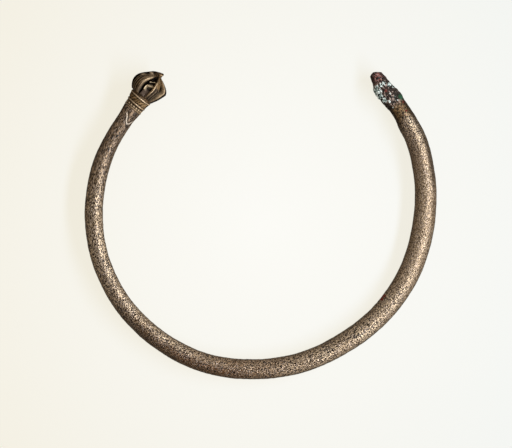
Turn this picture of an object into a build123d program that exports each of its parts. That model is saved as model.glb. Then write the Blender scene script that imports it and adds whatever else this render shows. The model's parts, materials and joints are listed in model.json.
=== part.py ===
from build123d import *
from collections import namedtuple
from math import asin, cos, degrees, radians, sin
import os

# An open bangle of cast bronze: a plain round rod bent to a hoop, with a ribbed bud at one end.
# The other end is bare and corroded, down to the nose that a second bud once sat on.
# Millimetres, +Z up. The bangle lies on its side on the ground, Z = 0, with the gap towards +Y.
# The origin is under the middle of its box. Angles are in degrees, counter-clockwise from +X.

# The hoop's own sizes
hoop_radius = 34.0          # from the hoop's centre to the middle of the rod
rod_width = 4.6             # across the rod where it is thickest
collar_angle = 143.0        # where the rod meets the bud's collar
rod_turn = 243.75           # from the collar round to the corroded end

# The corroded bare end, which runs on straight
bare_length = 11.1          # from the end of the bend to the step
bare_lean = 8.0             # how far it turns inward of the bend
nose_length = 2.6           # the tapered nose beyond the step
nose_width = 3.1            # across the nose at the step

# The tenon, hidden inside the bud, and the bud's seat on it
tenon_length = 2.9
tenon_width = 2.5
tenon_taper = 6.0
seat_gap = 0.1              # between the bud and the rod, all over the seat

# The darts incised round the rod below the collar
dart_count = 4
dart_start = 1.0            # from the collar to the darts' open ends
dart_length = 2.3           # from their open ends to their points
dart_line = 0.25            # across the incised line
dart_depth = 0.2
dart_twist = 56.0           # the first dart's place round the rod, from the hoop's outside

# The bud's collar, with its two rings
bud_lean = 2.9              # how far the bud turns inward of the bend
collar_radius = 2.05
collar_length = 3.0
ring_proud = 0.15           # how far the lower ring stands out of the collar
rim_proud = 0.42            # how far the upper ring, under the bud, stands out of it

# The bud itself
bud_length = 6.4
bud_radius = 3.72           # to the outside of the ribs, where they are widest
core_radius = 2.4           # the closed core that the ribs arch over
tip_radius = 0.5
rib_count = 8
rib_thickness = 0.55
rib_start = 17.0            # the first rib's place round the bud, from the hoop's outside

# Where the rod touches the ground, across the hoop from the bud
ground_angle = 302.0

# The rod swells a little where it meets the collar
collar_end_width = 3.87
swell_turn = 0.02           # the share of rod_turn that the swelling takes

# The rod in even steps, from the swelling to the corroded end: the distance of its middle from
# the hoop's centre as a share of hoop_radius, and its width as a share of rod_width
RodSection = namedtuple("RodSection", "reach width")
rod_sections = [
    RodSection(0.958, 0.74),
    RodSection(0.980, 0.79),
    RodSection(0.998, 0.81),
    RodSection(1.013, 0.80),
    RodSection(1.018, 0.82),
    RodSection(1.015, 0.85),
    RodSection(1.011, 0.87),
    RodSection(0.996, 0.90),
    RodSection(0.988, 0.91),
    RodSection(0.981, 0.93),
    RodSection(0.989, 0.95),
    RodSection(0.997, 0.98),
    RodSection(1.001, 0.99),
    RodSection(1.014, 0.96),
    RodSection(1.023, 0.94),
]

# The bare end in even steps, after the rod's last section: how far its middle lies outside a
# straight line and how wide it is, both as shares of rod_width
EndSection = namedtuple("EndSection", "aside width")
bare_sections = [
    EndSection(0.058, 0.88),
    EndSection(0.086, 0.83),
    EndSection(0.091, 0.83),
    EndSection(0.080, 0.91),
    EndSection(0.046, 0.90),
    EndSection(0.004, 0.85),
    EndSection(0.042, 0.73),
]

# The nose in even steps, from the bare end's step on: the same two sizes as shares of nose_width
nose_sections = [
    EndSection(0.070, 1.00),
    EndSection(0.093, 0.93),
    EndSection(0.093, 0.78),
    EndSection(0.033, 0.30),
]

# The collar's rings: where each begins, is proudest and ends, as shares of collar_length
RingHeights = namedtuple("RingHeights", "start crest end")
ring = RingHeights(0.33, 0.45, 0.57)
rim = RingHeights(0.70, 0.90, 1.00)

# The arcs of a rib's outline and of the core's pass through these places: a share of bud_radius
# or core_radius out from the middle, and a share of bud_length up from the collar
ArcPlace = namedtuple("ArcPlace", "out up")
rib_belly = ArcPlace(0.86, 0.18)
rib_crown = ArcPlace(1.00, 0.45)
rib_shoulder = ArcPlace(0.66, 0.76)
core_belly = ArcPlace(0.86, 0.60)
core_top = 0.93             # the core's height as a share of bud_length


def outward(angle):
    """The level direction away from the hoop's centre."""
    return Vector(cos(radians(angle)), sin(radians(angle)), 0)


def around(angle):
    """The level direction along the rod, away from the bud."""
    return outward(angle + 90)


def rod_plane(turn, reach, lean=0.0):
    """The plane across the rod at a share of its turn. X is outward, Z runs along the rod."""
    angle = collar_angle + turn * rod_turn
    middle = outward(angle) * hoop_radius * reach
    return Plane(origin=middle, x_dir=outward(angle + lean), z_dir=around(angle + lean))


def across(plane, along, aside):
    """The plane that is a distance along from the given one, with its middle moved aside."""
    return plane.offset(along).shift_origin(plane.from_local_coords((aside, 0, along)))


def rod_turn_at(index):
    """The share of the turn at which a section of the rod stands."""
    return swell_turn + (1 - swell_turn) * index / (len(rod_sections) - 1)


def bud_place(place, radius):
    """A place of an outline, out from the bud's axis and up from the collar's base."""
    return (place.out * radius, collar_length + place.up * bud_length)


rod_start = rod_sections[0]
rod_end = rod_sections[-1]
collar_plane = rod_plane(0, rod_start.reach, lean=-bud_lean)
bare_plane = rod_plane(1, rod_end.reach, lean=bare_lean)

# The incised darts: a zigzag of thin walls that reach dart_depth under the rod's surface
dart_middle = dart_start + dart_length / 2
swell_length = radians(swell_turn * rod_turn) * hoop_radius
dart_plane = rod_plane(swell_turn * dart_middle / swell_length, rod_start.reach)
dart_near = collar_end_width / 2
dart_far = rod_width * rod_start.width / 2
dart_half = dart_near * radians(180 / dart_count)

with BuildPart() as dart:
    with BuildSketch(Plane.YZ.offset(dart_far / 2)):
        with BuildLine():
            Polyline((-dart_half, -dart_length / 2), (0, dart_length / 2), (dart_half, -dart_length / 2))
        trace(line_width=dart_line)
    extrude(amount=rod_width / 2)

with BuildPart(dart_plane) as darts:
    with PolarLocations(0, dart_count, start_angle=dart_twist):
        add(dart.part)
    with Locations((0, 0, swell_length / 2 - dart_middle)):
        Cone(dart_near - dart_depth, dart_far - dart_depth, swell_length, mode=Mode.SUBTRACT)

# The hoop: the swelling, the bent rod, its bare end and nose, the tenon and the darts
with BuildPart() as hoop:
    with BuildSketch(collar_plane):
        Circle(collar_end_width / 2)
    with BuildSketch(rod_plane(swell_turn, rod_start.reach)):
        Circle(rod_width * rod_start.width / 2)
    loft()
    for index, section in enumerate(rod_sections):
        with BuildSketch(rod_plane(rod_turn_at(index), section.reach)):
            Circle(rod_width * section.width / 2)
    loft()
    with BuildSketch(rod_plane(1, rod_end.reach)):
        Circle(rod_width * rod_end.width / 2)
    for index, section in enumerate(bare_sections, start=1):
        along = bare_length * index / len(bare_sections)
        with BuildSketch(across(bare_plane, along, rod_width * section.aside)):
            Circle(rod_width * section.width / 2)
    loft()
    for index, section in enumerate(nose_sections):
        along = bare_length + nose_length * index / (len(nose_sections) - 1)
        with BuildSketch(across(bare_plane, along, nose_width * section.aside)):
            Circle(nose_width * section.width / 2)
    loft()
    with BuildSketch(collar_plane):
        Circle(tenon_width / 2)
    extrude(amount=-tenon_length, taper=tenon_taper)
    add(darts.part, mode=Mode.SUBTRACT)
hoop.part.label = "hoop"


# One rib of the bud, standing on its collar: two arcs that meet at the bud's widest place
bud_tip = collar_length + bud_length
with BuildPart() as rib:
    with BuildSketch(Plane.XZ):
        with BuildLine():
            foot = Line((0, collar_length), (collar_radius, collar_length))
            crown = bud_place(rib_crown, bud_radius)
            belly = ThreePointArc(foot @ 1, bud_place(rib_belly, bud_radius), crown)
            shoulder = ThreePointArc(crown, bud_place(rib_shoulder, bud_radius), (tip_radius, bud_tip))
            Polyline(shoulder @ 1, (0, bud_tip), foot @ 0)
        make_face()
    extrude(amount=rib_thickness / 2, both=True)

# The finial: collar, rings and core in one turned form, the ribs round it and the tenon's socket
finial_plane = Plane(
    origin=collar_plane.from_local_coords((0, 0, -seat_gap)),
    x_dir=collar_plane.x_dir,
    z_dir=-collar_plane.z_dir,
)
finial_side = Plane(origin=finial_plane.origin, x_dir=finial_plane.x_dir, z_dir=-finial_plane.y_dir)
core_height = collar_length + core_top * bud_length
with BuildPart(finial_plane) as finial:
    with BuildSketch(finial_side):
        with BuildLine():
            band = Polyline((0, 0), (collar_radius, 0), (collar_radius, ring.start * collar_length))
            lower = ThreePointArc(
                band @ 1,
                (collar_radius + ring_proud, ring.crest * collar_length),
                (collar_radius, ring.end * collar_length),
            )
            groove = Line(lower @ 1, (collar_radius, rim.start * collar_length))
            upper = ThreePointArc(
                groove @ 1,
                (collar_radius + rim_proud, rim.crest * collar_length),
                (core_radius, rim.end * collar_length),
            )
            core = ThreePointArc(upper @ 1, bud_place(core_belly, core_radius), (tip_radius, core_height))
            Polyline(core @ 1, (0, core_height), (0, 0))
        make_face()
    revolve(axis=Axis(finial_plane.origin, finial_plane.z_dir))
    with PolarLocations(0, rib_count, start_angle=rib_start):
        add(rib.part)
    with BuildSketch(finial_plane):
        Circle(tenon_width / 2 + seat_gap)
    extrude(amount=tenon_length, taper=tenon_taper, mode=Mode.SUBTRACT)
finial.part.label = "finial"

# The bud is wider than the rod, so the hoop leans on the ground's line of contact with the rod
bud_middle = finial_plane.from_local_coords((0, 0, collar_length + rib_crown.up * bud_length))
ground_turn = (ground_angle - collar_angle) / rod_turn
ground_index = round((ground_turn - swell_turn) / (1 - swell_turn) * (len(rod_sections) - 1))
ground_section = rod_sections[ground_index]
ground_span = hoop_radius * ground_section.reach - bud_middle.dot(outward(ground_angle))
drop = -finial.part.bounding_box().min.Z - rod_width * ground_section.width / 2
lean_axis = Axis((0, 0, 0), around(ground_angle))
lean_angle = degrees(asin(drop / ground_span))

leaning = [piece.part.rotate(lean_axis, lean_angle) for piece in (hoop, finial)]
room = Compound(leaning).bounding_box()
set_down = Location((-room.center().X, -room.center().Y, -room.min.Z))

os.makedirs("parts", exist_ok=True)
for piece in leaning:
    export_step(piece.moved(set_down), "parts/" + piece.label + ".step")
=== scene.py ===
import json
from collections import namedtuple
from math import cos, pi, radians, sin

import bpy
import numpy as np
from mathutils import Matrix, Vector, noise


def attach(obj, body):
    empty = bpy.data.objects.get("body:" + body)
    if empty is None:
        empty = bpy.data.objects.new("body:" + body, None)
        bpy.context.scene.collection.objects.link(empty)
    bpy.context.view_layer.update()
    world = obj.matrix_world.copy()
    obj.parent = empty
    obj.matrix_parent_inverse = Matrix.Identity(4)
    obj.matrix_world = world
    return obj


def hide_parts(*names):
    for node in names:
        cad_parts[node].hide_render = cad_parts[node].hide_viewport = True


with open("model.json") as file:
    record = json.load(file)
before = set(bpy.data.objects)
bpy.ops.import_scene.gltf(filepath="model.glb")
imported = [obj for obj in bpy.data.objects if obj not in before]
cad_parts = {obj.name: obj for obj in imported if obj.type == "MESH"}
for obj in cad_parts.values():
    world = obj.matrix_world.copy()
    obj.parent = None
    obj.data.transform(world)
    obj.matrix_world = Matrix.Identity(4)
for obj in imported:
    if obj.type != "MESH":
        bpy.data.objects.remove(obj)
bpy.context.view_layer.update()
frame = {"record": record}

# An open bronze bangle, lying flat and seen from straight above.
# Forms are worked out in millimetres, in the hoop's own frame or the bud's, and put in place in
# metres at the end. Angles are in degrees, counter-clockwise from +X.
MM = 0.001
UP = np.array((0.0, 0.0, 1.0))

# The hoop's own sizes
HOOP_RADIUS = 34.0
ROD_WIDTH = 4.6
COLLAR_ANGLE = 143.0
ROD_TURN = 244.25
SWELL_TURN = 0.02
COLLAR_REACH = 0.958
COLLAR_END_WIDTH = 3.87
BUD_LEAN = 2.9
BARE_LEAN = 7.5
BARE_LENGTH = 13.80
SEAT_GAP = 0.1
SEAT_LIP = 0.085
SEAT_STRAIGHT = 2.5
TENON_LENGTH = 2.9
TENON_RADIUS = 1.25
TENON_END_RADIUS = 0.95

# The rod's inner side is hollowed a little here, in millimetres from the collar
WAIST_MIDDLE = 8.0
WAIST_SPREAD = 3.5
WAIST_DEPTH = 0.14

# The rod in even steps, from its swelling at the collar to the corroded end: the distance of its
# middle from the hoop's centre as a share of HOOP_RADIUS, and its width as a share of ROD_WIDTH
RodSection = namedtuple("RodSection", "reach width")
ROD_SECTIONS = [
    RodSection(0.958, 0.74),
    RodSection(0.980, 0.79),
    RodSection(0.998, 0.81),
    RodSection(1.013, 0.80),
    RodSection(1.018, 0.82),
    RodSection(1.015, 0.85),
    RodSection(1.011, 0.87),
    RodSection(0.996, 0.90),
    RodSection(0.988, 0.91),
    RodSection(0.981, 0.93),
    RodSection(0.989, 0.95),
    RodSection(0.997, 0.98),
    RodSection(1.001, 0.99),
    RodSection(1.014, 0.96),
    RodSection(1.023, 0.94),
]

# The corroded end: millimetres along a straight line from the end of the bend, and from that
# line to the inner and the outer side
BareSection = namedtuple("BareSection", "along inner outer")
BARE_SECTIONS = [
    BareSection(1.0, 2.00, 2.27),
    BareSection(3.0, 1.57, 2.31),
    BareSection(5.0, 1.51, 2.34),
    BareSection(6.2, 1.69, 2.45),
    BareSection(7.2, 1.80, 2.42),
    BareSection(8.6, 1.93, 2.10),
    BareSection(9.6, 1.92, 1.94),
    BareSection(10.3, 1.84, 1.90),
    BareSection(10.9, 1.54, 1.85),
    BareSection(11.4, 1.30, 1.81),
    BareSection(12.3, 1.08, 1.68),
    BareSection(13.2, 0.82, 1.56),
    BareSection(14.0, 0.62, 1.44),
]

# The flat faces that end the nose: the way each one faces, as along, outward and up, and how far
# along that way it lies from the end of the bend
Facet = namedtuple("Facet", "along out up reach")
NOSE_FACETS = [
    Facet(0.815, 0.580, 0.00, 11.20),
    Facet(0.899, -0.438, 0.00, 12.16),
    Facet(0.640, 0.080, 0.76, 9.36),
    Facet(0.560, -0.100, -0.82, 8.22),
]

# The incised zigzag of darts: degrees round the rod, millimetres from the collar and how bright
# the line is, partly rubbed and partly a painted highlight where it faces the lamp. The darts'
# points lie away from the bud.
Corner = namedtuple("Corner", "turn along bright")
DART_CORNERS = [
    Corner(-10, 1.40, 0.2),
    Corner(30, 3.10, 0.2),
    Corner(47, 2.35, 0.1),
    Corner(70, 1.32, 0.2),
    Corner(76, 1.10, 0.9),
    Corner(94, 1.80, 1.0),
    Corner(103, 2.50, 1.0),
    Corner(118, 3.10, 0.9),
    Corner(134, 3.00, 0.7),
    Corner(160, 2.05, 0.6),
    Corner(195, 1.10, 0.2),
    Corner(240, 3.10, 0.2),
    Corner(285, 1.10, 0.2),
    Corner(322, 3.10, 0.2),
    Corner(350, 1.40, 0.2),
    Corner(390, 3.10, 0.2),
]
DART_HALF = 0.12
DART_DEPTH = 0.16
DART_BORDER = 0.34

# Stains: millimetres along the rod from the collar, out from its middle towards the hoop's
# outside, and across the stain. Those of the corroded end are along from the end of the bend.
Stain = namedtuple("Stain", "along out size")
MINT_STAINS = [
    Stain(10.50, 0.58, 0.62),
    Stain(9.55, 1.45, 0.70),
    Stain(8.75, 2.00, 0.45),
    Stain(9.85, -1.55, 1.20),
    Stain(8.75, -1.60, 1.05),
    Stain(7.50, -1.10, 0.75),
    Stain(10.60, -1.00, 0.55),
    Stain(10.35, -0.10, 0.65),
    Stain(7.95, 0.45, 0.25),
    Stain(6.70, -0.50, 0.30),
    Stain(6.05, 0.95, 0.18),
    Stain(6.90, 1.00, 0.20),
    Stain(5.30, -0.60, 0.18),
]
RUST_STAINS = [
    Stain(3.20, 1.20, 0.45),
    Stain(5.00, 1.80, 0.50),
    Stain(8.90, 0.10, 0.60),
    Stain(4.30, 0.50, 0.35),
    Stain(2.60, 0.70, 0.35),
]
GREEN_STAINS = [Stain(6.15, 2.00, 0.72)]
DARK_STAINS = [
    Stain(6.95, 1.55, 0.85),
    Stain(9.30, -0.69, 0.35),
    Stain(5.60, -1.20, 0.60),
    Stain(6.10, 0.20, 0.40),
    Stain(6.45, 0.85, 0.50),
]
ROD_RUST_STAINS = [
    Stain(105.8, -2.10, 0.65),
    Stain(106.6, -2.00, 0.50),
]
ROD_PITS = [
    Stain(85.9, 0.00, 0.28),
    Stain(38.0, 0.90, 0.22),
    Stain(121.0, -0.60, 0.22),
]
STAIN_CORE = 0.35
STAIN_EDGE = 1.15

# Stretches of the rod, from where each sets in to where it is full, or from where it starts to fade
# to where it is gone. These are millimetres from the collar:
COLLAR_DULL_ENDS = (9.0, 20.0)
COLLAR_SHADE_ENDS = (4.0, 24.0)
COLLAR_GRAIN_ENDS = (3.5, 24.0)
COLLAR_SIDES_END = (8.0, 26.0)
DRAWN_GRAIN_ENDS = (8.0, 40.0)
STREAKS_END = (8.0, 16.0)
CALM_STARTS = (95.0, 125.0)
OUTER_SHADE_STARTS = (100.0, 112.0)
# and these from the end of the bend:
CALM_ENDS = (-8.0, -1.0)
BARE_SHADE_STARTS = (-18.0, -4.0)
BARE_SIDE_STARTS = (-18.0, -9.0)
BARE_RIM_STARTS = (-6.0, 3.0)
CRUST_SIDE_STARTS = (-2.0, 2.0)
CRUST_SIDE_ENDS = (10.2, 10.8)
DULL_STARTS = (0.8, 3.2)
CRUST_STARTS = (4.3, 6.4)
CRUST_ENDS = (11.0, 11.8)
NOSE_STARTS = (10.9, 11.6)
NOSE_TIP_STARTS = (12.6, 13.2)

# Browner stretches of the rod: where the middle of each is, how far it spreads and how brown its
# outer and its inner side are. The first is brown almost only on its outer side, which turns from
# the lamp there, so it is partly painted shade.
BrownStretch = namedtuple("BrownStretch", "middle spread outer inner")
BROWN_STRETCHES = [
    BrownStretch(62.0, 16.5, 1.00, 0.05),
    BrownStretch(72.0, 11.0, 0.45, 0.45),
]

# Stretches whose outer side is darkened with painted shade: where the middle of each is, how far it
# spreads, how dark it is, and the shares of the half width at which the dark sets in and is full
SideShade = namedtuple("SideShade", "middle spread strength starts full")
SIDE_SHADES = [
    SideShade(49.0, 11.0, 0.55, -0.10, 0.70),
    SideShade(56.0, 15.0, 0.60, 0.25, 0.80),
    SideShade(76.0, 28.0, 0.60, 0.68, 0.92),
]

# Uneven metal: millimetres across its lumps, how high they stand, and where in the noise they are.
# Streaks and grain are drawn out along the rod.
Lumps = namedtuple("Lumps", "size height seed")
ROD_LUMPS = [Lumps(3.0, 0.045, 4.1), Lumps(1.1, 0.020, 9.7)]
ROD_STREAKS = Lumps(0.75, 0.035, 21.3)
ROD_PITTING = Lumps(0.42, 0.036, 2.3)
ROD_GRAIN = Lumps(0.30, 0.030, 7.9)
CRUST_LUMPS = [Lumps(0.85, 0.13, 13.3), Lumps(0.45, 0.08, 17.7)]
BUD_GRAIN = Lumps(0.33, 0.018, 5.5)
BUD_LUMPS = Lumps(1.0, 0.030, 8.8)
MINT_HEIGHT = 0.07
PIT_DEPTH = 0.12
STREAK_SCALE = (0.16, 1.0, 1.0)
GRAIN_SCALE = (0.7, 1.0, 1.0)

# Points round the rod and rings along it, which stand closer at either end, where marks are finest
RING_POINTS = 104
COLLAR_STRETCH = 6.0
COLLAR_RINGS = 66
BEND_RINGS = 660
BARE_STRETCH = 3.0
BARE_RINGS = 150
NOSE_STRETCH = 1.0
NOSE_RINGS = 20
# The last ring of the rod and of the bud stops this far short of the end
LAST_RING = 0.02

# Along the bud's axis from its seat: how far its middle lies to the hoop's outside, and the
# radius of the turned collar and of the core that the ribs stand on
Girth = namedtuple("Girth", "along aside radius")
BUD_GIRTHS = [
    Girth(0.00, 0.00, 1.95),
    Girth(0.12, 0.01, 2.06),
    Girth(0.27, 0.02, 1.97),
    Girth(1.03, 0.07, 2.00),
    Girth(1.33, 0.09, 2.17),
    Girth(1.56, 0.11, 2.07),
    Girth(1.90, 0.16, 2.14),
    Girth(2.46, 0.19, 2.27),
    Girth(2.80, 0.19, 2.42),
    Girth(3.02, 0.19, 2.36),
    Girth(3.20, 0.18, 2.31),
    Girth(3.60, 0.16, 2.36),
    Girth(4.20, 0.14, 2.42),
    Girth(5.00, 0.14, 2.42),
    Girth(5.70, 0.14, 2.30),
    Girth(6.40, 0.14, 2.02),
    Girth(7.00, 0.14, 1.60),
    Girth(7.60, 0.14, 1.22),
    Girth(8.20, 0.20, 0.96),
    Girth(8.70, 0.34, 0.82),
    Girth(9.00, 0.24, 0.70),
    Girth(9.25, 0.02, 0.54),
    Girth(9.50, -0.28, 0.32),
]
COLLAR_TILT = 0.24
CORE_START = 4.6
BUD_START = 3.08
BUD_END = 9.56
TIP_ROUNDING = 0.25

# The ribs round the bud: each one's angle from straight up towards the hoop's outside, how far
# it reaches from the axis, where along the axis it is widest and where it ends, its radius at
# the foot, how sharply it rises and falls, half its thickness, how light its crest is, partly
# rubbed and partly a painted highlight, where along it the crest is brightest, and how far the
# hollow after it is filled and darkened
Rib = namedtuple("Rib", "turn reach crest end foot rise fall half worn bright fill dark")
RIBS = [
    Rib(-151, 3.70, 6.10, 8.90, 2.45, 1.5, 1.8, 0.24, 0.5, 6.0, 0.20, 0.0),
    Rib(-107, 3.70, 6.36, 8.86, 2.40, 1.25, 1.85, 0.24, 0.0, 6.0, 0.35, 0.6),
    Rib(-57, 3.78, 6.36, 8.86, 2.40, 1.25, 1.85, 0.25, 1.0, 6.4, 0.45, 0.60),
    Rib(-19, 3.74, 5.60, 9.30, 2.40, 2.0, 1.7, 0.17, 1.0, 5.4, 0.00, 0.0),
    Rib(30, 3.80, 5.44, 8.70, 2.60, 2.2, 1.70, 0.22, 1.0, 7.6, 0.80, 0.45),
    Rib(75, 3.80, 5.44, 9.56, 2.60, 2.2, 1.75, 0.24, 0.0, 6.0, 0.55, 0.6),
    Rib(119, 3.70, 5.60, 9.30, 2.50, 2.0, 1.7, 0.26, 0.3, 6.0, 0.20, 0.0),
    Rib(164, 3.70, 5.80, 9.00, 2.50, 1.8, 1.7, 0.24, 0.4, 6.0, 0.30, 0.0),
]
RIB_SOFTNESS = 0.24
ROOT_SOFTNESS = 0.10

# The hollow that faces up comes after its rib, and the lower hollow before it. The rib on the
# other side is broad, and a painted highlight lies on its side that faces the lamp.
UPWARD_HOLLOW = 3
LOWER_HOLLOW = UPWARD_HOLLOW - 1
UPWARD_RIB = RIBS[UPWARD_HOLLOW]
BROAD_RIB = RIBS[UPWARD_HOLLOW + 1]

# The curl in the hollow that faces up, seen from above: millimetres along, and across from the
# middle of the hollow towards the hoop's outside. Every other hollow has a like one.
Stroke = namedtuple("Stroke", "path half height")
STROKES = [
    Stroke(
        [(4.72, 0.30), (5.25, 0.42), (5.58, 0.30), (5.74, -0.10), (5.86, -0.50), (6.14, -0.78)],
        0.22, 0.52
    ),
    Stroke([(6.22, 0.20), (6.56, -0.02), (6.66, -0.35), (6.56, -0.80)], 0.13, -0.38),
    Stroke([(6.46, 0.30), (6.86, -0.20), (7.06, -0.62)], 0.14, 0.50),
    Stroke([(6.98, 0.02), (7.45, -0.02)], 0.24, -0.42),
    Stroke([(3.35, 0.72), (5.10, 0.66), (6.90, 0.55)], 0.17, -0.45),
]

# The collar's rubbed rings and the seams between them: where each one is along the axis, half its
# width and how strongly it shows
RingLine = namedtuple("RingLine", "place half strength")
RUBBED_RINGS = [RingLine(0.12, 0.08, 0.8), RingLine(1.35, 0.10, 0.8), RingLine(2.80, 0.11, 1.0)]
SEAMS = [RingLine(1.62, 0.09, 0.8), RingLine(2.58, 0.08, 0.8), RingLine(3.00, 0.06, 0.8)]

# The collar's band of beads and its groove of slanting lines, from where to where along the axis
# each sets in and dies away, and the knob beside the hooked tip, which carries a painted glint
BEADS = 18
BEAD_PLACE = 0.66
BEAD_HALF = 0.22
BEAD_HEIGHT = 0.16
BEAD_RADIUS = 2.0
BAND_STARTS = (0.25, 0.4)
BAND_ENDS = (0.95, 1.15)
GROOVE_STARTS = (1.5, 1.7)
GROOVE_ENDS = (2.45, 2.65)
GROOVE_LINES = 20
GROOVE_LINE_HEIGHT = 0.06
LOBE_LINE_HEIGHT = 0.05
KNOB_PLACE = 9.02
KNOB_ASIDE = -0.45
KNOB_HALF = 0.13
KNOB_HEIGHT = 0.10

# Columns round the bud crowd together at the ribs' crests, and rows along it at the tip
BUD_COLUMNS = 460
CREST_CROWDING = 2.4
CREST_SPREAD = 6.5
BUD_ROWS = 180
TIP_ROWS = 25
TIP_START = 8.9


def outward(angle):
    """The level direction away from the hoop's centre."""
    return np.array((cos(radians(angle)), sin(radians(angle)), 0.0))


def apart(angle, other):
    """The turn from one angle to another, from -180 to 180 degrees."""
    return (angle - other + 180.0) % 360.0 - 180.0


def ease(value, low, high):
    """Goes smoothly from 0 at low to 1 at high."""
    share = np.clip((value - low) / (high - low), 0.0, 1.0)
    return share * share * (3.0 - 2.0 * share)


def fade(value, low, high):
    """Goes smoothly from 1 at low to 0 at high."""
    return 1 - ease(value, low, high)


def between(value, starts, ends):
    """1 on a stretch that sets in smoothly over starts and dies away smoothly over ends."""
    return ease(value, *starts) * fade(value, *ends)


def bell(value, middle, spread):
    """1 at the middle, falling smoothly to 0 on either side."""
    return np.exp(-((value - middle) / spread) ** 2)


def flow(places, values, at, steady=False):
    """A smooth curve through a table's values, which doesn't swing past them when it is steady."""
    places = np.asarray(places, float)
    values = np.asarray(values, float)
    slopes = np.gradient(values, places)
    if steady:
        secants = np.diff(values) / np.diff(places)
        least = np.minimum(np.abs(secants[1:]), np.abs(secants[:-1]))
        same_way = secants[1:] * secants[:-1] > 0
        slopes[1:-1] = np.where(same_way, np.clip(slopes[1:-1], -3 * least, 3 * least), 0.0)
    left = np.clip(np.searchsorted(places, at, side="right") - 1, 0, len(places) - 2)
    step = places[left + 1] - places[left]
    share = (at - places[left]) / step
    rest = 1.0 - share
    ends = (1 + 2 * share) * rest ** 2 * values[left] + share ** 2 * (3 - 2 * share) * values[left + 1]
    return ends + step * share * rest * (rest * slopes[left] - share * slopes[left + 1])


def cloud(points, lumps):
    """Smooth noise from -1 to 1 at each point, with lumps of the size given."""
    scaled = np.asarray(points) / lumps.size + lumps.seed
    values = [noise.noise(point) for point in scaled.reshape(-1, 3).tolist()]
    return np.array(values).reshape(scaled.shape[:-1])


def lumpy(points, kinds):
    """How high lumps of several kinds stand at each point."""
    return sum(lumps.height * cloud(points, lumps) for lumps in kinds)


def path_distance(along, aside, path):
    """The distance from each place of a surface to a bent line drawn on it."""
    nearest = np.inf
    for (x0, y0), (x1, y1) in zip(path, path[1:]):
        dx = x1 - x0
        dy = y1 - y0
        share = np.clip(((along - x0) * dx + (aside - y0) * dy) / (dx * dx + dy * dy), 0.0, 1.0)
        nearest = np.minimum(nearest, np.hypot(along - x0 - share * dx, aside - y0 - share * dy))
    return nearest


def softer_low(first, second, softness):
    """The lower of two heights, with the corner between them rounded."""
    blend = np.clip(0.5 + 0.5 * (second - first) / softness, 0.0, 1.0)
    return second * (1 - blend) + first * blend - softness * blend * (1 - blend)


def softer_high(first, second, softness):
    """The higher of two heights, with the corner between them rounded."""
    return -softer_low(-first, -second, softness)


def add_object(name, data):
    """Puts a mesh, a lamp or a camera in the scene."""
    made = bpy.data.objects.new(name, data)
    bpy.context.scene.collection.objects.link(made)
    return made


def ring_faces(count, around):
    """Four-sided faces between rings of points, and a fan of triangles that closes either end."""
    here = np.arange(around)
    following = np.roll(here, -1)
    faces = []
    for low in range(0, (count - 1) * around, around):
        high = low + around
        corners = [low + here, low + following, high + following, high + here]
        faces.extend(np.stack(corners, axis=1).tolist())
    first_middle = count * around
    last_middle = first_middle + 1
    top = (count - 1) * around
    faces.extend(np.stack([following, here, np.full(around, first_middle)], axis=1).tolist())
    faces.extend(np.stack([top + here, top + following, np.full(around, last_middle)], axis=1).tolist())
    return faces


def skin_mesh(name, hidden_rings, rings, marks, to_world):
    """A closed mesh through rings of equal counts, with a middle point at either end.

    The hidden rings come first, and take the marks of the first ring that shows.
    """
    rings = np.concatenate([np.array(hidden_rings), rings])
    count, around = rings.shape[:2]
    points = np.vstack([rings.reshape(-1, 3), rings[0].mean(axis=0), rings[-1].mean(axis=0)])
    mesh = bpy.data.meshes.new(name)
    mesh.from_pydata(points.tolist(), [], ring_faces(count, around))
    mesh.transform(to_world)
    for mark, values in marks.items():
        values = np.concatenate([values[:1]] * len(hidden_rings) + [values])
        kind, field, width = ("FLOAT_VECTOR", "vector", 3) if values.ndim == 3 else ("FLOAT", "value", 1)
        flat = values.reshape(-1, width)
        flat = np.vstack([flat, flat[:around].mean(axis=0), flat[-around:].mean(axis=0)])
        layer = mesh.attributes.new(mark, kind, "POINT")
        layer.data.foreach_set(field, flat.astype(np.float32).ravel())
    mesh.polygons.foreach_set("use_smooth", [True] * len(mesh.polygons))
    mesh.update()
    return add_object(name, mesh)


# The wrist mount carries the hoop's centre and the way its round faces up
wrist = next(mount for mount in frame["record"]["mounts"] if mount["name"] == "wrist")
HOOP_TO_WORLD = (
    Matrix.Translation(wrist["pos_m"])
    @ Vector((0, 0, 1)).rotation_difference(Vector(wrist["axis"])).to_matrix().to_4x4()
    @ Matrix.Scale(MM, 4)
)

# The line that the rod follows: round the bend, and then straight along the corroded end
rod_steps = np.linspace(SWELL_TURN, 1.0, len(ROD_SECTIONS))
rod_angles = COLLAR_ANGLE + ROD_TURN * np.concatenate([[0.0], rod_steps])
rod_reaches = [COLLAR_REACH] + [section.reach for section in ROD_SECTIONS]
bend = [outward(angle) * HOOP_RADIUS * reach for angle, reach in zip(rod_angles, rod_reaches)]
bare_angle = COLLAR_ANGLE + ROD_TURN + BARE_LEAN
bare_out = outward(bare_angle)
bare_way = outward(bare_angle + 90)
bare_foot = bend[-1]
guide = np.array(bend + [bare_foot + bare_way * section.along for section in BARE_SECTIONS])
guide_places = np.concatenate([[0.0], np.cumsum(np.linalg.norm(np.diff(guide, axis=0), axis=1))])
bare_start = guide_places[len(bend) - 1]
rod_end = bare_start + BARE_LENGTH

# The bud points away from the rod, which leaves its seat straight
bud_axis = outward(COLLAR_ANGLE - BUD_LEAN - 90)
bud_outside = outward(COLLAR_ANGLE - BUD_LEAN)
collar_heading = radians(COLLAR_ANGLE - BUD_LEAN + 90)

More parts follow.
